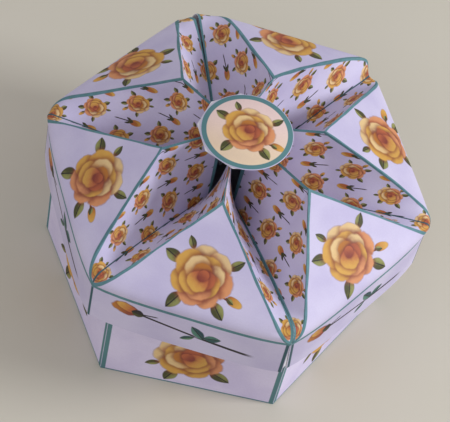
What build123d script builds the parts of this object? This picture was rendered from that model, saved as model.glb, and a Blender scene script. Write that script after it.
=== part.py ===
from build123d import *
import os
from math import atan2, cos, radians, sin, tan

# A six-sided gift box of printed card: a folded tray and a lift-off lid with a sunken star top.
# Millimetres, +Z up. The origin is the middle of the tray's floor, on the table.
# Corner 0 of the tray is at 240 degrees about +Z and the others follow every 60 degrees,
# so that the side between corners 0 and 1 faces -Y. The lid's corners are numbered alike.

SIDES = 6
STEP_ANGLE = 360 / SIDES
HALF_ANGLE = STEP_ANGLE / 2
FIRST_CORNER_ANGLE = 240
UP = Vector(0, 0, 1)
ROW_POINTS = 7               # control points in each row that gives a curve of the lid
TIP_STEP = 4                 # the one of them where a mountain fold reaches the tip

# The card
card = 0.3                   # thickness of the sheet
glue = 0.05                  # layer of glue between two flat pieces
sharpest_mitre = 3.0         # a tight fold is at most this many sheets deep
bend_steps = 6               # facets round the tight bend of the lid just above its rim
curve_steps = 12             # facets along each of its longer curves
tab_width = 9.0              # glue tabs, where two edges of a sheet meet
tab_taper = 3.5              # how much shorter a tab is at each end of its free edge
tab_margin = 1.2             # a tab stops this far short of the wall's upper and lower edge

# Tray
tray_height = 51.4           # height of the walls
lid_play = 5.0               # its corners are this much nearer the axis than those of the lid's rim

# Lid: rim, skirt and the six bulging triangles
rim_radius = 60.0            # axis to a corner of the rim fold
skirt_depth = 16.6           # how far the skirt hangs below the rim fold
lean_out = 3.6               # a triangle leans out over the rim fold before it bends inwards
lean_rise = 3.7              # height of that bend above the rim fold
shoulder_in = 10.8           # rim to the shoulder, which pulls the triangle's curve upwards
shoulder_rise = 12.7         # height of the shoulder
bend_share = 0.35            # where the curve touches the line from the lean to the shoulder
edge_bow = 1.3               # how far the triangle's slanted edges bow out sideways
tip_radius = 25.2            # axis to the tip of each triangle
tip_rise = 21.0              # height of the tips above the rim fold
lid_twist = -5.4             # the loose lid sits turned by this angle on the smaller tray
lid_shift = 1.0              # and off the tray's axis by this much, towards +X
seat_gap = 0.5               # air between the tray's walls and the lid's creases
seam_gap = 0.1               # between the two half strips of the lid, along their seams
first_seam = 1               # corner where the right half strip starts; the left one starts opposite

# Lid: the blunt corner where each sunken kite begins
nose_height = 6.2            # the sheet stands up this far at a corner before it turns inwards
nose_run = 4.0               # length of that turn, along the crease
nose_sink = 1.0              # how far the crease has come down at the end of the turn

# Lid: the creases, the ridges and the star-shaped hole
crease_end_radius = 7.0      # where a crease ends at the hole, from the middle of the gather
crease_end_drop = 6.3        # how far that end is below the rim fold
crease_swell = 2.3           # how far a crease bows up above its straight line
ridge_end_radius = 4.5       # where a ridge ends, under the medallion
ridge_end_rise = 22.3        # height of that end above the rim fold
gather_x = -2.6              # the hand-made gather sits this far from the lid's axis
gather_y = 1.2

# The star is folded by hand and uneven. These lists go round the lid from side 0 and corner 0.
tip_out = [0, 0, -1, -0.5, 1.5, 0.5]       # each tip, away from the axis
tip_along = [-0.5, 0.5, -1.5, -2.5, 0, 0]  # each tip, towards the side's second corner
tip_up = [0, 0, -1, -0.5, 1, 0]
puff_out = [-0.5, -1, 0.5, 1.5, 1, -1.5]   # each triangle's bulge
puff_along = [0, 0, -1, -4.5, -1.5, -0.5]
puff_up = [-1, 0, 0, 2.5, -1, 0]
nose_out = [0.5, 0, 2, 0, 1.5, 1.5]        # each nose
nose_along = [0.5, 0.5, -0.5, -2, -2.5, 1]
nose_up = [-0.5, 0, 0, -0.5, 2, -0.5]
loose_seam = 4               # corner where the glue has let go at the nose
mouth = 4.5                  # how far the sheets have come apart there
splay = 2.0                  # how far a skirt's free edge slants away from its seam

# Medallion and its backing
medallion_radius = 13.9
backing_radius = 14.6        # to the corners of the hand-cut disc
backing_cuts = 9             # straight cuts around it
backing_turn = 12            # degrees

# Worked out from these
tray_radius = rim_radius - lid_play
rim_apothem = rim_radius * cos(radians(HALF_ANGLE))
lean_angle = atan2(lean_out, lean_rise)
seat_radius = tray_radius * cos(radians(HALF_ANGLE)) / cos(radians(HALF_ANGLE - abs(lid_twist)))
nose_level = nose_height + min(nose_up) - nose_sink
crease_run = rim_radius - nose_run - crease_end_radius
crease_fall = (nose_level + crease_end_drop - 2 * crease_swell) / crease_run
seat_run = rim_radius - nose_run - seat_radius + lid_shift
seat_rise = nose_level - seat_run * crease_fall - card
rim_z = tray_height + seat_gap - seat_rise
gather = Vector(gather_x, gather_y, rim_z)


def polar(radius, angle, z=0.0):
    return Vector(radius * cos(radians(angle)), radius * sin(radians(angle)), z)


def corner_angle(index):
    return FIRST_CORNER_ANGLE + STEP_ANGLE * index


def mean(a, b):
    return (a + b) * 0.5


def between(a, b, share):
    return a + (b - a) * share


def polygon(*points):
    return Face(Wire.make_polygon(points, close=True))


def facets(one, other):
    """Flat triangles between two rows of points, which may start or end in the same point."""
    made = []
    for a, b, c, d in zip(one, one[1:], other[1:], other):
        if b != c:
            made.append(polygon(a, b, c))
        if a != d:
            made.append(polygon(a, c, d))
    return made


def strip(one, other):
    """Facets between the curves that two rows of control points give: the sheet, bent one way at a time."""
    return facets(curve(one), curve(other))


def curve(row):
    """Points along a row of control points, which hold one round span after another, two points apart."""
    points = [row[0]]
    for start in range(0, len(row) - 1, 2):
        a, b, c = row[start:start + 3]
        steps = curve_steps if start else bend_steps
        for step in range(1, steps):
            share = step / steps
            points.append(between(between(a, b, share), between(b, c, share), share))
        points.append(c)
    return points


def inside(point, *normals):
    """The point on the card's inside that belongs to a point where faces with these normals meet."""
    if len(normals) == 2:
        a, b = normals
        reach = min(2 / (a + b).length, sharpest_mitre)
        return point - (a + b).normalized() * (card * reach)
    a, b, c = normals
    return point - (b.cross(c) + c.cross(a) + a.cross(b)) * (card / a.dot(b.cross(c)))


def tangent(points, step):
    """Direction of a row of control points at one of them."""
    return points[min(step + 1, len(points) - 1)] - points[max(step - 1, 0)]


class Crease:
    """The valley fold in the middle of a kite, from a corner of the rim to the star-shaped hole."""

    def __init__(self, index):
        angle = corner_angle(index)
        corner = polar(rim_radius, angle, rim_z)
        end = gather + polar(crease_end_radius, angle, -crease_end_drop)
        inward = Vector(end.X - corner.X, end.Y - corner.Y, 0).normalized()
        uneven = polar(nose_out[index], angle, nose_up[index]) + polar(nose_along[index], angle + 90)
        brow = corner + UP * nose_height + uneven
        turn = brow + inward * nose_run - UP * nose_sink
        swell = mean(turn, end) + UP * crease_swell
        near, far = mean(turn, swell), mean(swell, end)
        self.points = [corner, brow, turn, near, mean(near, far), far, end]
        self.inner = []

    def find_inner(self, before, after):
        """Inside of the fold, from the normals of the half kites before and after it."""
        corner = self.points[0]
        inner_radius = (rim_apothem - card) / cos(radians(HALF_ANGLE))
        flat = Vector(corner.X, corner.Y, 0).normalized() * inner_radius
        self.inner = [flat + UP * (corner.Z + card * tan(lean_angle / 2))]
        for point, one, other in list(zip(self.points, before, after))[1:]:
            self.inner.append(inside(point, one, other))


class Panel:
    """One side of the lid, between two creases: the skirt, the triangle and two half kites."""

    def __init__(self, left, right, index):
        angle = corner_angle(index) + HALF_ANGLE
        self.creases = (left, right)
        self.along = polar(1, angle + 90)
        self.ridge_end = gather + polar(ridge_end_radius, angle, ridge_end_rise)
        self.folds = self.find_folds(angle, index)
        self.spine = [mean(a, b) for a, b in zip(*self.folds)]

    def find_folds(self, angle, index):
        """Both mountain folds, each from its corner of the rim to the tip, with the ridge after it."""
        rim = polar(rim_apothem, angle, rim_z)
        puff = polar(puff_out[index], angle, puff_up[index])
        lean = polar(rim_apothem + lean_out, angle, rim_z + lean_rise) + puff
        shoulder = polar(rim_apothem - shoulder_in, angle, rim_z + shoulder_rise) + puff
        shift = polar(tip_out[index], angle, tip_up[index]) + self.along * tip_along[index]
        tip = polar(tip_radius, angle, rim_z + tip_rise) + shift
        spine = [rim, lean, between(lean, shoulder, bend_share), shoulder, tip]
        lengths = [(b - a).length for a, b in zip(spine, spine[1:])]
        ridge = [mean(tip, self.ridge_end), self.ridge_end]
        folds = []
        for way in (-1, 1):
            half_width = rim_radius / 2
            bow = [0, edge_bow, edge_bow, edge_bow / 2, 0]
            slide = [0, puff_along[index], puff_along[index], puff_along[index] / 2, 0]
            row = []
            for step, point in enumerate(spine):
                left_over = half_width * sum(lengths[step:]) / sum(lengths)
                row.append(point + self.along * (way * (left_over + bow[step]) + slide[step]))
            folds.append(row + ridge)
        return folds

    def kite_normal(self, side, step, on_crease):
        """Outward normal of a half kite at a control point of its crease or of its mountain fold."""
        fold, crease = self.folds[side], self.creases[side].points
        direction = tangent(crease if on_crease else fold, step)
        across = crease[step] - fold[step]
        turned = direction.cross(across) if side == 0 else across.cross(direction)
        return turned.normalized()

    def crease_normals(self, side):
        return [None] + [self.kite_normal(side, step, True) for step in range(1, len(self.spine))]

    def find_inner(self):
        """The same rows of control points on the inside of the card."""
        end_step = ROW_POINTS - 1
        tip_row = self.spine[:TIP_STEP + 1]
        faces = [self.along.cross(tangent(tip_row, step)).normalized() for step in range(len(tip_row))]
        kites = [[None] + [self.kite_normal(side, step, False) for step in range(1, end_step + 1)]
                 for side in (0, 1)]
        tip = inside(self.spine[TIP_STEP], faces[TIP_STEP], kites[0][TIP_STEP], kites[1][TIP_STEP])
        end = inside(self.ridge_end, kites[0][end_step], kites[1][end_step])
        self.inner_folds = []
        for side in (0, 1):
            row = [self.creases[side].inner[0]]
            row += [inside(self.folds[side][step], faces[step], kites[side][step])
                    for step in range(1, TIP_STEP)]
            self.inner_folds.append(row + [tip, mean(tip, end), end])

    def faces(self, shifts, free_edge=False):
        """All faces of this panel, outside and inside, with its two creases moved by the shifts."""
        slants = [self.along * (splay if free_edge else 0), Vector(0, 0, 0)]
        outer_creases = [crease.points for crease in self.creases]
        inner_creases = [crease.inner for crease in self.creases]
        outer = self.layer(self.folds, outer_creases, shifts, slants)
        inner = self.layer(self.inner_folds, inner_creases, shifts, slants)
        made = outer["faces"] + inner["faces"] + facets(outer["feet"], inner["feet"])
        for side in (0, 1):
            made += facets(outer["ends"][side], inner["ends"][side])
        self.edges = [(outer["creases"][side], inner["creases"][side],
                       outer["feet"][side], inner["feet"][side]) for side in (0, 1)]
        return made

    def layer(self, folds, creases, shifts, slants):
        """One side of the card: its faces, and the rows of points along its edges."""
        creases = [[point + shift for point, shift in zip(row, moves)] for row, moves in zip(creases, shifts)]
        folds = [[crease[0]] + fold[1:] for crease, fold in zip(creases, folds)]
        left, right = folds
        faces = strip(left[:TIP_STEP + 1], right[:TIP_STEP + 1])
        for fold, crease in zip(folds, creases):
            faces += strip(fold, crease)
        feet = [Vector(row[0].X, row[0].Y, rim_z - skirt_depth) + slant
                for row, slant in zip(creases, slants)]
        faces.append(polygon(left[0], right[0], feet[1], feet[0]))
        ends = [[fold[-1], crease[-1]] for fold, crease in zip(folds, creases)]
        return {"faces": faces, "creases": creases, "feet": feet, "ends": ends}

    def seam_faces(self, side):
        """The cut edge of the sheet along a crease and down the skirt."""
        outer, inner, foot, inner_foot = self.edges[side]
        return strip(outer, inner) + facets([outer[0], foot], [inner[0], inner_foot])


def tab(corner, along, inward, low, high):
    """A glue tab behind a wall: it starts just past the corner, inside the neighbour's own sheet."""
    depth = card + glue
    start = corner - along * (card / 3) + inward * depth
    level = Vector(start.X, start.Y, 0)
    outline = [level + UP * low, level + along * tab_width + UP * (low + tab_taper),
               level + along * tab_width + UP * (high - tab_taper), level + UP * high]
    return Solid.extrude(polygon(*outline), inward * card)


def side_frame(radius, index):
    """A corner, the direction along the side that starts there, and the direction to the inside."""
    corner = polar(radius, corner_angle(index))
    along = (polar(radius, corner_angle(index + 1)) - corner).normalized()
    return corner, along, UP.cross(along)


def on_tray(piece):
    """A piece of the lid, turned and shifted as the lid lies on the tray."""
    return Pos(lid_shift, 0, 0) * Rot(0, 0, lid_twist) * piece


def seam_moves(panel, side, corner):
    """How far each control point of a crease moves along the rim, away from the seam there."""
    away = 1 if side == 0 else -1
    half_gap = seam_gap / 2 / cos(radians(HALF_ANGLE))
    moves = [half_gap] * ROW_POINTS
    if corner % SIDES == loose_seam and side == 0:
        moves[1] += mouth
        moves[2] += mouth / 4
    return [panel.along * (away * move) for move in moves]


def make_half_lid(panels, first):
    """Three panels in a row, cut along the creases at both ends, with a tab behind the next skirt."""
    last = first + SIDES // 2
    start, middle, end = [panels[index % SIDES] for index in range(first, last)]
    still = [Vector(0, 0, 0)] * ROW_POINTS
    faces = start.faces((seam_moves(start, 0, first), still), free_edge=True)
    faces += middle.faces((still, still))
    faces += end.faces((still, seam_moves(end, 1, last)))
    faces += start.seam_faces(0) + end.seam_faces(1)
    sheet = Solid(Shell(faces))
    corner, along, inward = side_frame(rim_radius, last)
    flap = tab(corner, along, inward, rim_z - skirt_depth + tab_margin, rim_z - tab_margin)
    return on_tray(sheet + flap)


def make_lid_halves():
    creases = [Crease(index) for index in range(SIDES)]
    panels = [Panel(creases[index], creases[(index + 1) % SIDES], index) for index in range(SIDES)]
    for index, crease in enumerate(creases):
        crease.find_inner(panels[index - 1].crease_normals(1), panels[index].crease_normals(0))
    for panel in panels:
        panel.find_inner()
    return make_half_lid(panels, first_seam), make_half_lid(panels, first_seam + SIDES // 2)


def hexagon(radius):
    return polygon(*[polar(radius, corner_angle(index)) for index in range(SIDES)])


def make_tray():
    """Floor and walls of one folded sheet, with a glue tab behind each wall."""
    hollow_radius = tray_radius - card / cos(radians(HALF_ANGLE))
    tray = Solid.extrude(hexagon(tray_radius), UP * tray_height)
    tray -= Pos(0, 0, card) * Solid.extrude(hexagon(hollow_radius), UP * tray_height)
    for index in range(SIDES):
        corner, along, inward = side_frame(tray_radius, index)
        tray += tab(corner, along, inward, card + tab_margin, tray_height - tab_margin)
    return tray


def make_disc(outline, height):
    return on_tray(Pos(0, 0, height) * Solid.extrude(outline, UP * card))


def make_backing(height):
    cuts = [polar(backing_radius, backing_turn + 360 / backing_cuts * cut) for cut in range(backing_cuts)]
    return make_disc(polygon(*cuts), height)


def make_medallion(height):
    return make_disc(Face(Wire.make_circle(medallion_radius)), height)


backing_z = rim_z + ridge_end_rise + glue
medallion_z = backing_z + card + glue
right_half, left_half = make_lid_halves()
parts = {
    "tray": make_tray(),
    "lid_right_half": right_half,
    "lid_left_half": left_half,
    "lid_backing": make_backing(backing_z),
    "lid_medallion": make_medallion(medallion_z),
}

os.makedirs("parts", exist_ok=True)
for name, part in parts.items():
    export_step(part, f"parts/{name}.step")
    print(name, round(part.volume, 1), part.is_valid, part.bounding_box())
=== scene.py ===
from math import atan2, cos, degrees, hypot, pi, radians, sin

import bpy
from mathutils import Matrix, Vector


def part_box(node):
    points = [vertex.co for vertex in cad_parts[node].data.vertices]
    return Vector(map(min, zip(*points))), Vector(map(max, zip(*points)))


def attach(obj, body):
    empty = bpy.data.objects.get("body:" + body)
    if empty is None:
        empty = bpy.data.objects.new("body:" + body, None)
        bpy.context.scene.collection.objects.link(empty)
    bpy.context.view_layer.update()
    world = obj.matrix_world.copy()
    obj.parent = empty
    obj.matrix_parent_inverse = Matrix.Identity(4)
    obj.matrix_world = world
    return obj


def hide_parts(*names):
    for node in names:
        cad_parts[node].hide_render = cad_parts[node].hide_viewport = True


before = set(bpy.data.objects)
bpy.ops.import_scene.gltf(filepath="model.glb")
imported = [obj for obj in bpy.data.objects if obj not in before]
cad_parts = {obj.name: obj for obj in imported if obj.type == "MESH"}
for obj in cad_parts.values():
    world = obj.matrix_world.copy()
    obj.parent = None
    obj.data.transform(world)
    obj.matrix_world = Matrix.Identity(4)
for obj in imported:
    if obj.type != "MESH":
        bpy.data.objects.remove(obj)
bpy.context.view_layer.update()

# A six-sided paper gift box: a printed tray, and a lid of two printed half strips folded into a star.
# Metres, in the frame's own axes. Side 0 faces -Y, and corner 0 is at its left end.

MM = 0.001
SIDES = 6
STEP = 360 / SIDES                 # angles are in degrees
UP = Vector((0, 0, 1))
NEAR = 0.01 * MM                   # two places closer than this count as one

# The card, and how the sheets are glued
CARD = 0.3 * MM
GLUE = 0.05 * MM
SEAM_GAP = 0.1 * MM                # between the two half strips of the lid
TAB_START = CARD / 3               # a tab starts this far before its corner
TAB_WIDTH = 9 * MM
TAB_TAPER = 3.5 * MM               # the tab's free end is cut this much shorter at its top and at its foot
TAB_MARGIN = 1.2 * MM              # and the whole tab stays this far inside the wall it is glued to
WELD = 0.002 * MM                  # points of one sheet closer than this are joined
SHARP_FROM = 24                    # folds of more than this angle look sharp, and the others soft

# Lid, as the part has it. Radii are taken from the middle, and heights from the rim fold.
RIM_RADIUS = 60 * MM
SKIRT_DEPTH = 16.6 * MM
LEAN_OUT = 3.6 * MM                # a triangle first leans out above the rim fold,
LEAN_RISE = 3.7 * MM
SHOULDER_IN = 10.8 * MM            # then bends inwards over its shoulder
SHOULDER_RISE = 12.7 * MM
BEND_SHARE = 0.35                  # where the lower bend ends on the way from the lean to the shoulder
EDGE_BOW = 1.3 * MM                # how far its slanted folds bow out sideways
TIP_RADIUS = 25.2 * MM
TIP_RISE = 21 * MM
NOSE_HEIGHT = 6.2 * MM             # a crease climbs from the rim's corner, turns over its brow,
NOSE_RUN = 4 * MM
NOSE_SINK = 1 * MM
CREASE_SWELL = 2.3 * MM            # and runs down to the hole in a slight swell
CREASE_END_RADIUS = 7 * MM
CREASE_END_DROP = 6.3 * MM
RIDGE_END_RADIUS = 4.5 * MM
RIDGE_END_RISE = 22.3 * MM
GATHER = Vector((-2.6, 1.2, 0)) * MM     # the creases and ridges meet this far off the middle
LID_TWIST = -5.4                   # how the lid lies on the tray
LID_SHIFT = 1 * MM

# The corner whose seam has let go: how wide it gapes, and how far the skirt's foot moves
LOOSE_SEAM = 4
MOUTH = 4.5 * MM
SPLAY = 2 * MM

# Soft bends of the card
RIM_BOW = 1.6 * MM                 # the rim fold and the skirt stand out in the middle of each side
HOLLOW = 2.7 * MM                  # how far a half kite sags between its crease and its ridge, at the tip
HOLLOW_END = [0.9, 0, 0, 0, 0, 0]  # and at the star-shaped hole, in millimetres, side by side
SAG_SIDEWAYS, SAG_DOWN = 0.9, 0.45
ROUND = 2                          # a bend that is one even arc from edge to edge
FULL = 4                           # a bend that is flatter in the middle and steeper at its edges

# How uneven the hand-folded star is, side by side and corner by corner, in millimetres, as in the part
TIP_OUT = [0, 0, -1, -0.5, 1.5, 0.5]
TIP_ALONG = [-0.5, 0.5, -1.5, -2.5, 0, 0]
TIP_UP = [0, 0, -1, -0.5, 1, 0]
PUFF_OUT = [-0.5, -1, 0.5, 1.5, 1, -1.5]
PUFF_ALONG = [0, 0, -1, -4.5, -1.5, -0.5]
PUFF_UP = [-1, 0, 0, 2.5, -1, 0]
NOSE_OUT = [0.5, 0, 2, 0, 1.5, 1.5]
NOSE_ALONG = [0.5, 0.5, -0.5, -2, -2.5, 1]
NOSE_UP = [-0.5, 0, 0, -0.5, 2, -0.5]

# The strip of card before it is folded: where the folds of one side lie on it, in millimetres
SIDE_WIDTH = 60
TIP_HEIGHT = 37.2
STRIP_HEIGHT = 58
SKIRT_HEIGHT = 16.6
SIDES_IN_STRIP = 3

# A fold is a row of control points that hold three round spans, and the tip is where the last span starts
FOLD_POINTS = 7
EDGE_SHARES = [0, 1, 1, 0.5, 0]    # how much each point up to the tip takes of the bow and of the unevenness
SPAN_STEPS = [12, 20, 20]          # how finely each span is modelled
TIP_ROW = sum(SPAN_STEPS[:2])
LAST_ROW = sum(SPAN_STEPS)
TRIANGLE_COLUMNS = 14
KITE_COLUMNS = 10
SKIRT_COLUMNS = 14
TAB_COLUMNS = 3

# Tray
TRAY_RADIUS = 55 * MM
WALL_BOW = 0.35 * MM               # the walls are drawn in a little by their folds
WALL_CUTS = 11                     # how finely a wall is modelled

# Medallion, and the disc under it
MEDALLION_FACETS = 160
BACKING_CUTS = 9
BACKING_RADIUS = 14.3 * MM
BACKING_PLACE = (-0.7 * MM, 0.1 * MM)
BACKING_TURN = 14
DISC_SOFTENING = 0.06 * MM
DISC_SHARP_FROM = 35

# Sizes of the print, in millimetres
BORDER = 1.3                       # printed lines along the folds
BORDER_LEAST, BORDER_UNEVEN = 0.6 * BORDER, 0.9 * BORDER
BORDER_DRIFT = 1.2                 # from the farthest in to the farthest out that they wander
RIM_LINE_DRIFT = 0.3               # the share of it that the rim's line takes
CREASE_LINE = 0.5
RIDGE_LINE = 2.6
RIM_LINE = 1.6
RIM_LINE_DROP = 0.4
SEAM_LINE = 0.65
SKIRT_LINE = 0.95
END_MARGIN = 0.2
WALL_LINE = 1.4
WALL_LINE_MARGIN = 0.1
WALL_FOOT_LINE = 0.6
WALL_FOOT_HEIGHT = 0.35
LINE_BLUR = 0.12                   # half the width over which the edges of a line fade
STEP_BLUR = 0.1                    # and those of a filled patch
TRIANGLE_BLUR = 0.05               # and of a triangle's print
CELL_WIDTH = 14                    # the small roses and buds stand in staggered cells
CELL_HEIGHT = 11
SMALL_ROSE = 3.6                   # roses are given by their radius
SMALL_TURN = radians(-18)
BUD_REACH = 4.4
LARGE_ROSE = 9.6
LARGE_ROSE_HEIGHT = 14
WALL_ROSE = 11.5
WALL_ROSE_HEIGHT = 16
WALL_ROSE_ALONG = -1
MEDALLION_ROSE = 8.3
MEDALLION_ROSE_PLACE = (0.3, 0.6)
MEDALLION_TURN = LID_TWIST + 4
RING_RADIUS = 12.95
RING_LINE = 1.55

RIM_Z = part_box("lid_right_half")[0][2] + SKIRT_DEPTH
TRAY_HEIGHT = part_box("tray")[1][2]


# Folded card

def polar(radius, angle, z=0.0):
    return Vector((radius * cos(radians(angle)), radius * sin(radians(angle)), z))


def corner_angle(index):
    return 240 + STEP * index


def mean(one, other):
    return (one + other) / 2


def curve(row):
    """Points along a row of control points, which hold one round span after another, two points apart."""
    points = [row[0]]
    for start, steps in zip(range(0, len(row) - 1, 2), SPAN_STEPS):
        a, b, c = row[start:start + 3]
        for step in range(1, steps + 1):
            share = step / steps
            points.append(a.lerp(b, share).lerp(b.lerp(c, share), share))
    return points


def valley_fold(index):
    """Control points of the crease in the middle of a kite, from the rim's corner to the star-shaped hole."""
    angle = corner_angle(index)
    corner = polar(RIM_RADIUS, angle, RIM_Z)
    end = GATHER + polar(CREASE_END_RADIUS, angle, RIM_Z - CREASE_END_DROP)
    inward = Vector((end.x - corner.x, end.y - corner.y, 0)).normalized()
    uneven = polar(NOSE_OUT[index], angle, NOSE_UP[index]) + polar(NOSE_ALONG[index], angle + 90)
    brow = corner + UP * NOSE_HEIGHT + uneven * MM
    turn = brow + inward * NOSE_RUN - UP * NOSE_SINK
    swell = mean(turn, end) + UP * CREASE_SWELL
    near, far = mean(turn, swell), mean(swell, end)
    return [corner, brow, turn, near, mean(near, far), far, end]


def mountain_folds(index):
    """Control points of a side's two slanted folds, each with the ridge after it, from rim to hole."""
    angle = corner_angle(index) + STEP / 2
    along = polar(1, angle + 90)
    apothem = RIM_RADIUS * cos(radians(STEP / 2))
    puff = polar(PUFF_OUT[index], angle, PUFF_UP[index]) * MM
    rim = polar(apothem, angle, RIM_Z)
    lean = polar(apothem + LEAN_OUT, angle, RIM_Z + LEAN_RISE) + puff
    shoulder = polar(apothem - SHOULDER_IN, angle, RIM_Z + SHOULDER_RISE) + puff
    shift = (polar(TIP_OUT[index], angle, TIP_UP[index]) + along * TIP_ALONG[index]) * MM
    tip = polar(TIP_RADIUS, angle, RIM_Z + TIP_RISE) + shift
    spine = [rim, lean, lean.lerp(shoulder, BEND_SHARE), shoulder, tip]
    lengths = [(b - a).length for a, b in zip(spine, spine[1:])]
    ridge_end = GATHER + polar(RIDGE_END_RADIUS, angle, RIM_Z + RIDGE_END_RISE)
    slide = PUFF_ALONG[index] * MM
    folds = []
    for way in (-1, 1):
        row = []
        for step, share in enumerate(EDGE_SHARES):
            left_over = RIM_RADIUS / 2 * sum(lengths[step:]) / sum(lengths)
            row.append(spine[step] + along * (way * (left_over + EDGE_BOW * share) + slide * share))
        folds.append(row + [mean(tip, ridge_end), ridge_end])
    return folds


def laid_flat(points, start, end):
    """Where the points of a fold lie on the flat strip, on a straight line from start to end."""
    run = [0.0]
    for a, b in zip(points, points[1:]):
        run.append(run[-1] + (b - a).length)
    return [Vector(start).lerp(Vector(end), length / run[-1]) for length in run]


def card_between(left, right, flat_left, flat_right, columns, finish=0, bulge=None, fullness=FULL):
    """A piece of card stretched between two rows of points, with its place on the flat strip as its UV map.
    bulge says how far the middle of each row stands out, and fullness how near its ends it already does."""
    rows = len(left) - 1
    bpy.ops.mesh.primitive_grid_add(x_subdivisions=columns, y_subdivisions=rows, size=1, calc_uvs=True)
    piece = bpy.context.object
    flat = []
    for vertex in piece.data.vertices:
        across = vertex.co.x + 0.5
        row = round((vertex.co.y + 0.5) * rows)
        vertex.co = left[row].lerp(right[row], across)
        if bulge:
            vertex.co += bulge[row] * (1 - (2 * across - 1) ** fullness)
        flat.append(flat_left[row].lerp(flat_right[row], across))
    for loop in piece.data.loops:
        piece.data.uv_layers.active.data[loop.index].uv = flat[loop.vertex_index]
    for face in piece.data.polygons:
        face.material_index = finish
    return piece


def glue_tab(radius, index, low, high):
    """A tab behind the wall that starts at a corner, a layer of glue away from it."""
    corner = polar(radius, corner_angle(index))
    along = (polar(radius, corner_angle(index + 1)) - corner).normalized()
    start = corner - along * TAB_START + UP.cross(along) * (CARD + GLUE)
    end = start + along * TAB_WIDTH
    left = [start + UP * low, start + UP * high]
    right = [end + UP * (low + TAB_TAPER), end + UP * (high - TAB_TAPER)]
    bare = [Vector((0, -SKIRT_HEIGHT)), Vector((0, -SKIRT_HEIGHT))]
    return card_between(left, right, bare, bare, TAB_COLUMNS, finish=1)


def join(pieces, name, printed, plain):
    """Joins the pieces of one sheet into one mesh, with its printed finish first and its plain one second."""
    bpy.ops.object.select_all(action="DESELECT")
    for piece in pieces:
        piece.data.materials.append(printed)
        piece.data.materials.append(plain)
        piece.select_set(True)
    bpy.context.view_layer.objects.active = pieces[0]
    bpy.ops.object.join()
    sheet = bpy.context.object
    sheet.name = name
    bpy.ops.object.mode_set(mode="EDIT")
    bpy.ops.mesh.select_all(action="SELECT")
    bpy.ops.mesh.remove_doubles(threshold=WELD)
    bpy.ops.object.mode_set(mode="OBJECT")
    return sheet


def thicken(sheet, even=False):
    """Gives a sheet the thickness of the card, inwards, with a plain back and plain cut edges."""
    bpy.ops.object.modifier_add(type="SOLIDIFY")
    solidify = sheet.modifiers[-1]
    solidify.thickness = CARD
    solidify.offset = -1
    solidify.use_even_offset = even
    solidify.material_offset = 1
    solidify.material_offset_rim = 1
    bpy.ops.object.modifier_apply(modifier=solidify.name)
    bpy.ops.object.shade_smooth_by_angle(angle=radians(SHARP_FROM))


def lay_on_tray(piece):
    """Turns and shifts a piece of the lid as the lid lies on the tray."""
    piece.matrix_world = Matrix.Translation((LID_SHIFT, 0, 0)) @ Matrix.Rotation(radians(LID_TWIST), 4, "Z")
    bpy.ops.object.select_all(action="DESELECT")
    piece.select_set(True)
    bpy.context.view_layer.objects.active = piece
    bpy.ops.object.transform_apply(location=True, rotation=True, scale=True)


def seam_moves(along, away, corner):
    """How far the points of a crease move from the seam, with the sheets apart where the glue let go."""
    moves = [SEAM_GAP / 2 / cos(radians(STEP / 2))] * FOLD_POINTS
    if corner % SIDES == LOOSE_SEAM and away > 0:
        moves[1] += MOUTH          # the brow
        moves[2] += MOUTH / 4      # the turn after it
    return [along * (away * move) for move in moves]


def kite_sags(index):
    """How far a side's half kites sag, row by row from the rim to the star-shaped hole."""
    at_end = HOLLOW_END[index] * MM
    sags = [HOLLOW * (row / TIP_ROW) ** 1.5 for row in range(TIP_ROW)]
    return sags + [HOLLOW + (at_end - HOLLOW) * ((row - TIP_ROW) / (LAST_ROW - TIP_ROW)) ** 2
                   for row in range(TIP_ROW, LAST_ROW + 1)]


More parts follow.
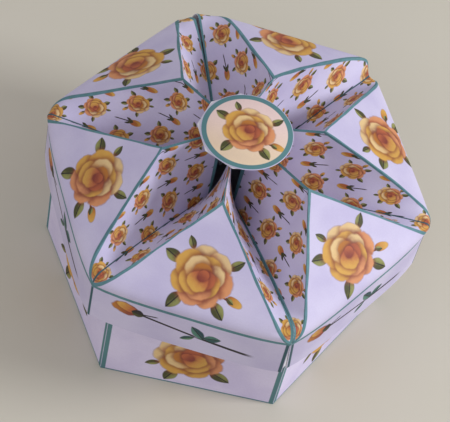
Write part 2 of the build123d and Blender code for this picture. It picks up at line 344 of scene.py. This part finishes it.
def fold_side(index, place, at_start, at_end):
    """One side of the lid: skirt, triangle and two half kites. place counts the sides of its strip."""
    along = polar(1, corner_angle(index) + STEP / 2 + 90)
    left_crease, right_crease = valley_fold(index), valley_fold((index + 1) % SIDES)
    left_foot_move = Vector((0, 0, 0))
    if at_start:
        left_crease = [p + m for p, m in zip(left_crease, seam_moves(along, 1, index))]
        left_foot_move = along * SPLAY
    if at_end:
        right_crease = [p + m for p, m in zip(right_crease, seam_moves(along, -1, index + 1))]
    left_fold, right_fold = mountain_folds(index)
    left_fold[0], right_fold[0] = left_crease[0], right_crease[0]
    left_crease, right_crease = curve(left_crease), curve(right_crease)
    left_fold, right_fold = curve(left_fold), curve(right_fold)
    left_foot, right_foot = [Vector((p.x, p.y, RIM_Z - SKIRT_DEPTH)) for p in (left_fold[0], right_fold[0])]
    left_foot += left_foot_move

    # The same rows on the flat strip
    start = SIDE_WIDTH * place
    middle, end = start + SIDE_WIDTH / 2, start + SIDE_WIDTH
    ridge = laid_flat(left_fold[TIP_ROW:], (middle, TIP_HEIGHT), (middle, STRIP_HEIGHT))
    flat_left = laid_flat(left_fold[:TIP_ROW + 1], (start, 0), (middle, TIP_HEIGHT))
    flat_right = laid_flat(right_fold[:TIP_ROW + 1], (end, 0), (middle, TIP_HEIGHT))
    flat_start = laid_flat(left_crease, (start, 0), (start, STRIP_HEIGHT))
    flat_end = laid_flat(right_crease, (end, 0), (end, STRIP_HEIGHT))
    skirt_start = [Vector((start, -SKIRT_HEIGHT)), Vector((start, 0))]
    skirt_end = [Vector((end, -SKIRT_HEIGHT)), Vector((end, 0))]

    out = polar(RIM_BOW, corner_angle(index) + STEP / 2)
    bow = [out * max(0, 1 - row / SPAN_STEPS[0]) ** 2 for row in range(TIP_ROW + 1)]
    sags = kite_sags(index)
    left_sag = [(along * SAG_SIDEWAYS - UP * SAG_DOWN) * sag for sag in sags]
    right_sag = [(along * -SAG_SIDEWAYS - UP * SAG_DOWN) * sag for sag in sags]
    return [
        card_between(left_fold[:TIP_ROW + 1], right_fold[:TIP_ROW + 1], flat_left, flat_right,
                     TRIANGLE_COLUMNS, bulge=bow),
        card_between(left_crease, left_fold, flat_start, flat_left + ridge[1:], KITE_COLUMNS,
                     bulge=left_sag, fullness=ROUND),
        card_between(right_fold, right_crease, flat_right + ridge[1:], flat_end, KITE_COLUMNS,
                     bulge=right_sag, fullness=ROUND),
        card_between([left_foot, left_fold[0]], [right_foot, right_fold[0]], skirt_start, skirt_end,
                     SKIRT_COLUMNS, bulge=[out, out]),
    ]


def fold_strip(name, first, printed, plain):
    """Half of the lid: a strip of three sides, with a tab that goes behind the next strip's skirt."""
    pieces = []
    for place in range(SIDES_IN_STRIP):
        index = (first + place) % SIDES
        pieces += fold_side(index, place, place == 0, place == SIDES_IN_STRIP - 1)
    low, high = RIM_Z - SKIRT_DEPTH + TAB_MARGIN, RIM_Z - TAB_MARGIN
    pieces.append(glue_tab(RIM_RADIUS, first + SIDES_IN_STRIP, low, high))
    strip = join(pieces, name, printed, plain)
    thicken(strip)
    lay_on_tray(strip)
    return strip


# Tray and discs

def select_faces(piece, wanted):
    """Opens a piece for editing with only the wanted faces selected."""
    bpy.ops.object.mode_set(mode="EDIT")
    bpy.ops.mesh.select_all(action="DESELECT")
    bpy.ops.object.mode_set(mode="OBJECT")
    for face in piece.data.polygons:
        face.select = wanted(face)
    bpy.ops.object.mode_set(mode="EDIT")


def bow_walls(tray):
    """Draws the middle of each wall in a little, and leaves its folds, its foot and its top edge in place."""
    apothem = TRAY_RADIUS * cos(radians(STEP / 2))
    for vertex in tray.data.vertices:
        for index in range(SIDES):
            out = polar(1, corner_angle(index) + STEP / 2)
            across = vertex.co.dot(UP.cross(out)) / (TRAY_RADIUS / 2)
            if abs(vertex.co.dot(out) - apothem) < NEAR and abs(across) < 0.999:
                height = vertex.co.z / TRAY_HEIGHT
                share = (1 - across ** 2) ** 2 * (1 - (2 * height - 1) ** 4)
                vertex.co -= out * (WALL_BOW * share)


def make_tray(printed, plain):
    """Six walls and a floor folded from one sheet, open at the top, with a glue tab behind each wall."""
    bpy.ops.mesh.primitive_cylinder_add(
        vertices=SIDES, radius=TRAY_RADIUS, depth=TRAY_HEIGHT, end_fill_type="NGON",
        location=(0, 0, TRAY_HEIGHT / 2), rotation=(0, 0, radians(STEP / 2)))
    tray = bpy.context.object
    bpy.ops.object.transform_apply(location=True, rotation=True, scale=True)
    select_faces(tray, lambda face: face.normal.z > 0.5)
    bpy.ops.mesh.delete(type="FACE")
    select_faces(tray, lambda face: abs(face.normal.z) < 0.5)
    bpy.ops.mesh.subdivide(number_cuts=WALL_CUTS)
    bpy.ops.object.mode_set(mode="OBJECT")
    bow_walls(tray)
    low, high = CARD + TAB_MARGIN, TRAY_HEIGHT - TAB_MARGIN
    tabs = [glue_tab(TRAY_RADIUS, index, low, high) for index in range(SIDES)]
    tray = join([tray] + tabs, "folded_tray", printed, plain)
    thicken(tray, even=True)
    return tray


def make_disc(name, facets, radius, depth, place, turn, finish):
    """A disc of card with softened rims."""
    bpy.ops.mesh.primitive_cylinder_add(
        vertices=facets, radius=radius, depth=depth, end_fill_type="NGON",
        location=place, rotation=(0, 0, radians(turn)))
    disc = bpy.context.object
    disc.name = name
    bpy.ops.object.transform_apply(location=True, rotation=True, scale=True)
    soften_rims(disc)
    disc.data.materials.append(finish)
    return disc


def soften_rims(disc):
    """Rounds the sharp upper and lower rims of a disc of card."""
    bpy.ops.object.mode_set(mode="EDIT")
    bpy.ops.mesh.select_all(action="DESELECT")
    bpy.ops.object.mode_set(mode="OBJECT")
    for edge in disc.data.edges:
        one, other = [disc.data.vertices[number].co for number in edge.vertices]
        edge.select = abs(one.z - other.z) < NEAR
    bpy.ops.object.mode_set(mode="EDIT")
    bpy.ops.mesh.bevel(offset=DISC_SOFTENING, segments=2)
    bpy.ops.object.mode_set(mode="OBJECT")
    bpy.ops.object.shade_smooth_by_angle(angle=radians(DISC_SHARP_FROM))


def make_backing(plain):
    """The disc under the medallion, cut by hand with straight cuts, which peeps out beside it."""
    low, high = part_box("lid_backing")
    place = (BACKING_PLACE[0] + LID_SHIFT, BACKING_PLACE[1], (low.z + high.z) / 2)
    return make_disc("backing", BACKING_CUTS, BACKING_RADIUS, high.z - low.z, place, BACKING_TURN, plain)


def make_medallion(printed):
    """The round medallion, punched from card."""
    low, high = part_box("lid_medallion")
    return make_disc("medallion", MEDALLION_FACETS, (high.y - low.y) / 2, high.z - low.z,
                     (low + high) / 2, 0, printed)


# Printing

def ink(red, green, blue):
    """A colour as picture programs count it, from 0 to 255, turned into the renderer's."""
    channels = []
    for value in (red, green, blue):
        share = value / 255
        channels.append(share / 12.92 if share <= 0.04045 else ((share + 0.055) / 1.055) ** 2.4)
    return (*channels, 1)


CARD_WHITE = ink(209, 203, 231)
TRAY_WHITE = ink(224, 216, 244)
PLAIN_WHITE = ink(222, 221, 229)
TEAL = ink(86, 132, 136)
TEAL_PALE = ink(94, 140, 150)
TEAL_DARK = ink(52, 92, 100)
STEM = ink(34, 30, 30)
PETAL_SHADOW = ink(124, 52, 40)
CLOUD_TINT, GRAIN_TINT = ink(206, 200, 226), ink(120, 110, 120)
GROUND_LOW, GROUND_HIGH = ink(232, 208, 178), ink(234, 208, 202)
FLOOR_TINTS = ink(199, 195, 178), ink(208, 203, 192)
PALE, YELLOW, PEACH = ink(234, 202, 144), ink(218, 168, 78), ink(222, 152, 102)
AMBER, ORANGE, RUST = ink(188, 120, 46), ink(184, 98, 60), ink(136, 60, 46)
LEAF_DARK, LEAF_LIGHT = ink(72, 74, 34), ink(146, 148, 84)


class Amount:
    """A number that varies over the card. It can be used in sums like any other number."""

    def __init__(self, sheet, socket):
        self.sheet = sheet
        self.socket = socket

    def __add__(self, other):
        return self.sheet.maths("ADD", self, other)

    def __radd__(self, other):
        return self.sheet.maths("ADD", other, self)

    def __sub__(self, other):
        return self.sheet.maths("SUBTRACT", self, other)

    def __rsub__(self, other):
        return self.sheet.maths("SUBTRACT", other, self)

    def __mul__(self, other):
        return self.sheet.maths("MULTIPLY", self, other)

    def __rmul__(self, other):
        return self.sheet.maths("MULTIPLY", other, self)

    def __truediv__(self, other):
        return self.sheet.maths("DIVIDE", self, other)

    def __mod__(self, other):
        return self.sheet.maths("FLOORED_MODULO", self, other)

    def __lt__(self, other):
        return self.sheet.maths("LESS_THAN", self, other)

    def __gt__(self, other):
        return self.sheet.maths("GREATER_THAN", self, other)

    def __abs__(self):
        return self.sheet.maths("ABSOLUTE", self)


class Sheet:
    """The finish of a piece of card, put together from shader nodes."""

    def __init__(self, name):
        self.material = bpy.data.materials.new(name)
        self.material.use_nodes = True
        self.tree = self.material.node_tree
        self.surface = self.tree.nodes["Principled BSDF"]

    def node(self, kind, settings=None, sockets=None):
        """A shader node with its settings made first and then its sockets filled with values or links."""
        made = self.tree.nodes.new(kind)
        for name, value in (settings or {}).items():
            setattr(made, name, value)
        for name, value in (sockets or {}).items():
            self.fill(made.inputs[name], value)
        return made

    def fill(self, socket, value):
        if isinstance(value, Amount):
            value = value.socket
        if isinstance(value, bpy.types.NodeSocket):
            self.tree.links.new(value, socket)
        else:
            socket.default_value = value

    def maths(self, operation, *values):
        made = self.node("ShaderNodeMath", {"operation": operation}, dict(enumerate(values)))
        return Amount(self, made.outputs[0])

    def smaller(self, one, other):
        return self.maths("MINIMUM", one, other)

    def larger(self, one, other):
        return self.maths("MAXIMUM", one, other)

    def eased(self, value, start, end):
        """0 where the value is at or before start, 1 from end on, and soft in between."""
        made = self.node("ShaderNodeMapRange", {"interpolation_type": "SMOOTHSTEP"},
                         {"Value": value, "From Min": start, "From Max": end})
        return Amount(self, made.outputs["Result"])

    def line(self, distance, width):
        """1 on a printed line of this width, from the distance to its middle."""
        return self.eased(abs(distance), width / 2 + LINE_BLUR, width / 2 - LINE_BLUR)

    def mixed(self, share, one, other, blend="MIX"):
        """Colour one where the share is 0, and the other colour where it is 1."""
        made = self.node("ShaderNodeMix", {"data_type": "RGBA", "blend_type": blend, "clamp_factor": True},
                         {0: share, 6: one, 7: other})
        return made.outputs[2]

    def noise(self, place, scale, detail, roughness=0.5):
        """Soft random patches, about 0.5 on average. scale is how many there are to a unit of the place."""
        made = self.node("ShaderNodeTexNoise", {"noise_dimensions": "3D"},
                         {"Vector": place, "Scale": scale, "Detail": detail, "Roughness": roughness})
        return Amount(self, made.outputs["Fac"])

    def spot(self, x, y):
        """A place on the print as one vector."""
        return self.node("ShaderNodeCombineXYZ", None, {"X": x, "Y": y}).outputs[0]

    def parts(self, place):
        """The x, y and z of a place."""
        made = self.node("ShaderNodeSeparateXYZ", None, {0: place})
        return [Amount(self, output) for output in made.outputs]

    def seen_from(self, place, centre, size, turn):
        """The place in the axes of a petal or leaf: its tip is at x = 1, and its widest edge at y = 1."""
        made = self.node("ShaderNodeMapping", {"vector_type": "TEXTURE"},
                         {"Vector": place, "Location": (*centre, 0), "Rotation": (0, 0, radians(turn)),
                          "Scale": (*size, 1)})
        return made.outputs[0]


class Picture:
    """A painted motif, put on from the back to the front. place is in units of the motif's own size,
    and wobble says how fine the unevenness of its outlines is."""

    def __init__(self, sheet, place, wobble):
        self.sheet = sheet
        self.place = place
        self.wobble = sheet.noise(place, wobble, 2.0) - 0.5
        self.streaks = sheet.noise(place, wobble * 3, 3.0) - 0.5
        self.colour = STEM
        self.cover = 0.0

    def put(self, mask, colour):
        self.colour = self.sheet.mixed(mask, self.colour, colour)
        self.cover = self.sheet.larger(self.cover, mask)

    def shade(self, near, depth):
        """Darkens what is already there, as the next layer's own shadow."""
        self.colour = self.sheet.mixed(near * depth, self.colour, PETAL_SHADOW)

    def petal(self, centre, size, turn, base, tip, depth=0.55, ragged=0.5):
        """A petal, dark at its base and pale at its tip."""
        local = self.sheet.seen_from(self.place, centre, size, turn)
        across = self.sheet.node("ShaderNodeVectorMath", {"operation": "LENGTH"}, {0: local}).outputs["Value"]
        reach = Amount(self.sheet, across) + self.wobble * ragged
        mask = self.sheet.eased(reach, 1.1, 0.9)
        self.shade(self.sheet.eased(reach, 1.45, 0.95), depth)
        along = self.sheet.parts(local)[0] + self.streaks * 0.7
        tone = self.sheet.mixed(self.sheet.eased(along, -0.7, 0.9), base, tip)
        self.put(mask, tone)

    def leaf(self, centre, size, turn, dark, light):
        """A pointed leaf with a dark middle rib and one lighter half."""
        local = self.sheet.seen_from(self.place, centre, size, turn)
        along, across = self.sheet.parts(local)[:2]
        reach = along * along + abs(across) + self.wobble * 0.35
        mask = self.sheet.eased(reach, 1.12, 0.88)
        tone = self.sheet.mixed(self.sheet.eased(across + self.streaks, -0.5, 0.7), dark, light)
        rib = self.sheet.eased(abs(across), 0.16, 0.04)
        self.put(mask, self.sheet.mixed(rib, tone, STEM))

    def stalk(self, start, end, width):
        """A straight thin stalk."""
        start, end = Vector(start), Vector(end)
        run = end - start
        size = (run.length / 2, width / 2)
        local = self.sheet.seen_from(self.place, mean(start, end), size, degrees(atan2(run.y, run.x)))
        along, across = self.sheet.parts(local)[:2]
        mask = self.sheet.eased(self.sheet.larger(abs(along), abs(across)), 1.3, 0.8)
        self.put(mask, STEM)


# The painted rose: leaves and a bud behind, then petals from the outside to the heart.
# Each leaf: its middle, its size and where it points. Each petal: where it points, how far out its middle is,
# its length and width, and its colours at the base and the tip.
ROSE_WOBBLE = 2.2
BUD_WOBBLE = 2.5
SPRIG_WOBBLE = 0.3
ROSE_LEAVES = [
    ((-0.98, 0.42), (0.34, 0.19), 155), ((-0.62, -0.86), (0.36, 0.2), 238),
    ((0.72, -0.84), (0.34, 0.19), 312), ((0.92, 0.62), (0.3, 0.15), 40), ((-0.55, 0.95), (0.24, 0.12), 118),
]
ROSE_PETALS = [
    (96, 0.56, 0.42, 0.46, AMBER, PALE), (48, 0.62, 0.36, 0.42, ORANGE, PALE),
    (-8, 0.62, 0.36, 0.44, ORANGE, PEACH), (-62, 0.58, 0.36, 0.42, RUST, PEACH),
    (-112, 0.58, 0.34, 0.44, ORANGE, PEACH), (-160, 0.6, 0.36, 0.4, AMBER, YELLOW),
    (146, 0.6, 0.38, 0.44, AMBER, YELLOW),
    (72, 0.36, 0.34, 0.42, RUST, YELLOW), (14, 0.38, 0.32, 0.38, RUST, PALE),
    (-40, 0.36, 0.3, 0.4, ORANGE, YELLOW), (-96, 0.36, 0.32, 0.44, RUST, PEACH),
    (-150, 0.36, 0.32, 0.4, ORANGE, YELLOW), (128, 0.34, 0.34, 0.4, AMBER, PALE),
    (100, 0.18, 0.26, 0.3, RUST, AMBER), (-20, 0.16, 0.28, 0.28, RUST, ORANGE),
    (-120, 0.17, 0.3, 0.34, ORANGE, YELLOW), (60, 0.05, 0.2, 0.16, RUST, ORANGE),
]


def paint_rose(sheet, x, y):
    """The rose on a circle of radius 1, with its leaves and bud just outside it. Like every painted motif,
    it comes as its colour and where it covers."""
    rose = Picture(sheet, sheet.spot(x, y), ROSE_WOBBLE)
    for centre, size, turn in ROSE_LEAVES:
        rose.leaf(centre, size, turn, LEAF_DARK, LEAF_LIGHT)
    rose.stalk((0.6, -0.35), (1.1, -0.5), 0.06)
    rose.petal((1.14, -0.46), (0.26, 0.15), -16, AMBER, YELLOW, depth=0.2)
    rose.leaf((1.0, -0.46), (0.16, 0.08), -30, LEAF_DARK, LEAF_LIGHT)
    for turn, out, length, width, base, tip in ROSE_PETALS:
        centre = (out * cos(radians(turn)), out * sin(radians(turn)))
        rose.petal(centre, (length, width), turn, base, tip)
    return rose.colour, rose.cover


def paint_bud(sheet, x, y):
    """A rosebud on a thin stalk, one unit tall above its foot and below its tip."""
    bud = Picture(sheet, sheet.spot(x, y), BUD_WOBBLE)
    bud.stalk((0.1, -0.95), (0, 0.05), 0.075)
    bud.leaf((-0.13, -0.02), (0.26, 0.09), 250, LEAF_DARK, STEM)
    bud.leaf((0.15, -0.02), (0.24, 0.08), 292, LEAF_DARK, STEM)
    bud.petal((0, 0.48), (0.42, 0.24), 90, AMBER, YELLOW, depth=0.2, ragged=0.3)
    bud.petal((0.08, 0.4), (0.32, 0.15), 84, ORANGE, AMBER, depth=0.3, ragged=0.3)
    bud.leaf((0, 0.12), (0.2, 0.17), 90, LEAF_DARK, LEAF_DARK)
    return bud.colour, bud.cover


def paint_sprig(sheet, x, y):
    """A bud lying on a long stalk with leaves, in millimetres from the middle of a skirt."""
    sprig = Picture(sheet, sheet.spot(x, y), SPRIG_WOBBLE)
    sprig.stalk((-15, 2.4), (3, -0.6), 0.8)
    sprig.stalk((3, -0.6), (19, -2.6), 1.0)
    sprig.stalk((-14, 2.6), (-9.5, 3.4), 0.5)
    sprig.leaf((3.2, 1.6), (3.6, 1.7), 128, ink(34, 72, 80), ink(84, 132, 116))
    sprig.leaf((7.6, 0.6), (2.8, 1.6), 14, ink(44, 84, 84), ink(76, 124, 112))
    sprig.leaf((0.4, -2.3), (2.6, 1.0), 214, ink(44, 84, 84), ink(92, 130, 96))
    sprig.petal((-19, 3.2), (4.4, 3.0), 172, RUST, AMBER, depth=0.2)
    sprig.petal((-18.6, 3.9), (3.4, 1.8), 160, ORANGE, YELLOW, depth=0.4)
    sprig.leaf((-15.2, 2.5), (2.1, 1.9), 172, STEM, LEAF_DARK)
    return sprig.colour, sprig.cover


# The surface of the card: soft clouds and a fine grain, as patches to a millimetre
CLOUD_SCALE, CLOUD_STRENGTH = 0.06, 0.35
GRAIN_SCALE, GRAIN_STRENGTH = 1.8, 0.06
GRAIN_DEPTH = 0.02 * MM
PRINTED_RELIEF, PLAIN_RELIEF = 0.6, 0.8
ROUGHNESS, ROUGHNESS_UNEVEN = 0.56, 0.12
SHINE = 0.35


def on_card(sheet, colour, place, relief=PRINTED_RELIEF):
    """Puts a print on matte card: the colour a little cloudy, the surface with a fine grain."""
    cloud = sheet.noise(place, CLOUD_SCALE, 3.0)
    grain = sheet.noise(place, GRAIN_SCALE, 4.0, 0.7)
    colour = sheet.mixed(sheet.eased(cloud, 0.35, 0.7) * CLOUD_STRENGTH, colour, CLOUD_TINT, "MULTIPLY")
    colour = sheet.mixed(sheet.eased(grain, 0.3, 0.7) * GRAIN_STRENGTH, colour, GRAIN_TINT)
    sheet.fill(sheet.surface.inputs["Base Color"], colour)
    sheet.fill(sheet.surface.inputs["Roughness"], ROUGHNESS + grain * ROUGHNESS_UNEVEN)
    sheet.surface.inputs["Specular IOR Level"].default_value = SHINE
    bump = sheet.node("ShaderNodeBump", None, {"Height": grain, "Strength": relief, "Distance": GRAIN_DEPTH})
    sheet.fill(sheet.surface.inputs["Normal"], bump.outputs[0])
    return sheet.material


def print_lid():
    """The lid's card: a rose on each triangle, small roses and buds on the kites, a sprig on each skirt."""
    sheet = Sheet("Printed card of the lid")
    flat = sheet.node("ShaderNodeUVMap", {"uv_map": "UVMap"}).outputs[0]
    strip_x, height = sheet.parts(flat)[:2]
    x = strip_x % SIDE_WIDTH
    kite_x = (strip_x + SIDE_WIDTH / 2) % SIDE_WIDTH - SIDE_WIDTH / 2
    from_middle = abs(x - SIDE_WIDTH / 2)
    slope = TIP_HEIGHT / hypot(TIP_HEIGHT, SIDE_WIDTH / 2)
    inwards = (SIDE_WIDTH / 2 * slope) - height * (SIDE_WIDTH / 2 * slope / TIP_HEIGHT) - from_middle * slope
    above_rim = height > 0
    below_tip = height < TIP_HEIGHT
    in_triangle = sheet.eased(inwards, -TRIANGLE_BLUR, TRIANGLE_BLUR) * above_rim

    # One rose is painted, large in a triangle and small in the cells of the kites
    row = sheet.maths("FLOOR", height / CELL_HEIGHT)
    offset = row % 2 * (CELL_WIDTH / 2)
    cell_y = height % CELL_HEIGHT - CELL_HEIGHT / 2
    cell_x = (kite_x + offset + CELL_WIDTH / 2) % CELL_WIDTH - CELL_WIDTH / 2
    bud_x = (kite_x + offset) % CELL_WIDTH - CELL_WIDTH / 2
    small_x = cell_x * (cos(SMALL_TURN) / SMALL_ROSE) + cell_y * (sin(SMALL_TURN) / SMALL_ROSE)
    small_y = cell_y * (cos(SMALL_TURN) / SMALL_ROSE) - cell_x * (sin(SMALL_TURN) / SMALL_ROSE)
    large_x = (x - SIDE_WIDTH / 2) / LARGE_ROSE
    large_y = (height - LARGE_ROSE_HEIGHT) / LARGE_ROSE
    rose_x = small_x + (large_x - small_x) * in_triangle
    rose_y = small_y + (large_y - small_y) * in_triangle
    rose, rose_cover = paint_rose(sheet, rose_x, rose_y)
    bud, bud_cover = paint_bud(sheet, bud_x / BUD_REACH, cell_y / BUD_REACH)
    sprig, sprig_cover = paint_sprig(sheet, x - SIDE_WIDTH / 2, height + SKIRT_HEIGHT / 2)
    colour = sheet.mixed(rose_cover * above_rim, CARD_WHITE, rose)
    colour = sheet.mixed(bud_cover * above_rim * (1 - in_triangle), colour, bud)
    colour = sheet.mixed(sprig_cover * (1 - above_rim), colour, sprig)

    # Thin dark lines on the creases and the skirt's corners
    to_end = sheet.smaller(strip_x, SIDE_WIDTH * SIDES_IN_STRIP - strip_x)
    inner_crease = sheet.line(kite_x, CREASE_LINE + (SKIRT_LINE - CREASE_LINE) * (1 - above_rim))
    inner_crease = inner_crease * (to_end > SKIRT_LINE)
    on_skirt = sheet.line(to_end - END_MARGIN - SKIRT_LINE / 2, SKIRT_LINE) * (1 - above_rim)
    colour = sheet.mixed(sheet.larger(inner_crease, on_skirt), colour, TEAL_DARK)

    # Broad teal lines round the triangles, on the ridges, at the hole, at the rim and at the strip's ends
    drift = (sheet.noise(flat, 0.07, 1.0) - 0.5) * BORDER_DRIFT
    width = BORDER_LEAST + sheet.noise(flat, 0.11, 1.0) * BORDER_UNEVEN
    border = sheet.line(inwards + drift, width) * above_rim * below_tip
    border = sheet.larger(border, sheet.line(from_middle, RIDGE_LINE) * (1 - below_tip))
    hole_line = STRIP_HEIGHT - BORDER
    border = sheet.larger(border, sheet.eased(height, hole_line - STEP_BLUR, hole_line + STEP_BLUR))
    border = sheet.larger(border, sheet.line(height + RIM_LINE_DROP + drift * RIM_LINE_DRIFT, RIM_LINE))
    seam = sheet.eased(to_end, SEAM_LINE + STEP_BLUR, SEAM_LINE - STEP_BLUR) * above_rim
    border = sheet.larger(border, seam)
    teal = sheet.mixed(sheet.eased(sheet.noise(flat, 0.5, 3.0), 0.35, 0.65), TEAL, TEAL_PALE)
    return on_card(sheet, sheet.mixed(border, colour, teal), flat)


def in_millimetres(sheet):
    """The piece's own place in millimetres."""
    place = sheet.node("ShaderNodeTexCoord").outputs["Object"]
    return sheet.node("ShaderNodeVectorMath", {"operation": "SCALE"}, {0: place, "Scale": 1 / MM}).outputs[0]


def print_tray():
    """The tray's card: on each wall a rose lying on its side between two upright lines."""
    sheet = Sheet("Printed card of the tray")
    place = in_millimetres(sheet)
    x, y, height = sheet.parts(place)
    angle = sheet.maths("ARCTAN2", y, x)
    facing = sheet.maths("ROUND", (angle + pi / 2) / (pi / 3)) * (pi / 3) - pi / 2
    along = y * sheet.maths("COSINE", facing) - x * sheet.maths("SINE", facing)
    rose_x = (height - WALL_ROSE_HEIGHT) / WALL_ROSE
    rose_y = (along - WALL_ROSE_ALONG) / -WALL_ROSE
    rose, rose_cover = paint_rose(sheet, rose_x, rose_y)
    colour = sheet.mixed(rose_cover, TRAY_WHITE, rose)
    wall_end = TRAY_RADIUS / MM / 2
    upright = sheet.line(abs(along) - (wall_end - WALL_LINE_MARGIN - WALL_LINE / 2), WALL_LINE)
    foot = sheet.line(height - WALL_FOOT_HEIGHT, WALL_FOOT_LINE)
    colour = sheet.mixed(sheet.larger(upright, foot), colour, TEAL)
    return on_card(sheet, colour, place)


def print_medallion():
    """The medallion: a rose on a peach ground in a teal ring, with a narrow white rim."""
    sheet = Sheet("Printed card of the medallion")
    place = sheet.seen_from(in_millimetres(sheet), (LID_SHIFT / MM, 0), (1, 1), MEDALLION_TURN)
    x, y = sheet.parts(place)[:2]
    radius = sheet.maths("SQRT", x * x + y * y)
    rose_x, rose_y = MEDALLION_ROSE_PLACE
    rose, rose_cover = paint_rose(sheet, (x - rose_x) / MEDALLION_ROSE, (y - rose_y) / MEDALLION_ROSE)
    ground = sheet.mixed(sheet.eased(y, -9, 6), GROUND_LOW, GROUND_HIGH)
    colour = sheet.mixed(rose_cover, ground, rose)
    beyond_ring = sheet.eased(radius, RING_RADIUS - STEP_BLUR, RING_RADIUS + STEP_BLUR)
    colour = sheet.mixed(beyond_ring, colour, CARD_WHITE)
    colour = sheet.mixed(sheet.line(radius - RING_RADIUS, RING_LINE), colour, TEAL)
    return on_card(sheet, colour, place)


def plain_card():
    """The card's unprinted back."""
    sheet = Sheet("Plain card")
    return on_card(sheet, PLAIN_WHITE, in_millimetres(sheet), relief=PLAIN_RELIEF)


# The box

lid_card = print_lid()
tray_card = print_tray()
inside_card = plain_card()

tray = make_tray(tray_card, inside_card)
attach(tray, "tray")
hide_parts("tray")

right_half = fold_strip("right_half_of_lid", 1, lid_card, inside_card)
left_half = fold_strip("left_half_of_lid", 4, lid_card, inside_card)
for half, node in ((right_half, "lid_right_half"), (left_half, "lid_left_half")):
    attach(half, "lid")
    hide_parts(node)

medallion = make_medallion(print_medallion())
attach(medallion, "lid")
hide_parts("lid_medallion")

backing = make_backing(inside_card)
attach(backing, "lid")
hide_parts("lid_backing")


# Floor, light and camera

FLOOR_SIZE = 6
FLOOR_CLOUD_SCALE = 0.01
FLOOR_ROUGHNESS, FLOOR_SHINE = 0.9, 0.1
ROOM_COLOUR, ROOM_STRENGTH = (0.97, 0.95, 0.97, 1), 0.53

IMAGE_WIDTH = 450                  # in pixels, for an image of 450 by 422
FOCAL_LENGTH = 1856.5727           # in pixels
SENSOR_WIDTH = 36                  # in millimetres, like the lens


def make_floor():
    """A plain matte floor, a little cloudy."""
    sheet = Sheet("Floor")
    cloud = sheet.noise(in_millimetres(sheet), FLOOR_CLOUD_SCALE, 3.0)
    sheet.fill(sheet.surface.inputs["Base Color"], sheet.mixed(cloud, *FLOOR_TINTS))
    sheet.surface.inputs["Roughness"].default_value = FLOOR_ROUGHNESS
    sheet.surface.inputs["Specular IOR Level"].default_value = FLOOR_SHINE
    bpy.ops.mesh.primitive_plane_add(size=FLOOR_SIZE)
    floor = bpy.context.object
    floor.name = "floor"
    floor.data.materials.append(sheet.material)


def add_lamp(name, place, size, power, colour):
    """A round soft lamp that shines on the middle of the floor."""
    bpy.ops.object.light_add(type="AREA", location=place)
    lamp = bpy.context.object
    lamp.name = name
    lamp.data.shape = "DISK"
    lamp.data.size = size
    lamp.data.energy = power
    lamp.data.color = colour
    lamp.rotation_euler = (Vector(place) * -1).to_track_quat("-Z", "Y").to_euler()


def add_world():
    """Even light from all around."""
    world = bpy.data.worlds.new("Room")
    world.use_nodes = True
    background = world.node_tree.nodes["Background"]
    background.inputs["Color"].default_value = ROOM_COLOUR
    background.inputs["Strength"].default_value = ROOM_STRENGTH
    bpy.context.scene.world = world


def add_camera():
    """The camera of the photograph, found from the corners of the box in it."""
    sideways, elevation, roll = radians(-2.3103), radians(54.482), radians(14.0659)
    target = Vector((-0.0693, -8.9228, 41.7851)) * MM
    distance = 566.8125 * MM
    back = Vector((sin(sideways) * cos(elevation), -cos(sideways) * cos(elevation), sin(elevation)))
    level = Vector((cos(sideways), sin(sideways), 0))
    upright = back.cross(level)
    right = level * cos(roll) + upright * sin(roll)
    top = upright * cos(roll) - level * sin(roll)
    bpy.ops.object.camera_add(location=target + back * distance)
    camera = bpy.context.object
    camera.rotation_euler = Matrix((right, top, back)).transposed().to_euler()
    camera.data.sensor_width = SENSOR_WIDTH
    camera.data.lens = FOCAL_LENGTH / IMAGE_WIDTH * SENSOR_WIDTH
    camera.data.clip_start = 0.01
    bpy.context.scene.camera = camera


make_floor()
add_lamp("Window", place=(0.66, 0.0, 0.42), size=0.24, power=3.7, colour=(0.96, 0.97, 1.0))
add_lamp("Soft front", place=(-0.5, -0.75, 0.7), size=0.9, power=2.0, colour=(0.98, 0.96, 1.0))
add_world()
bpy.context.scene.view_settings.view_transform = "Standard"
add_camera()
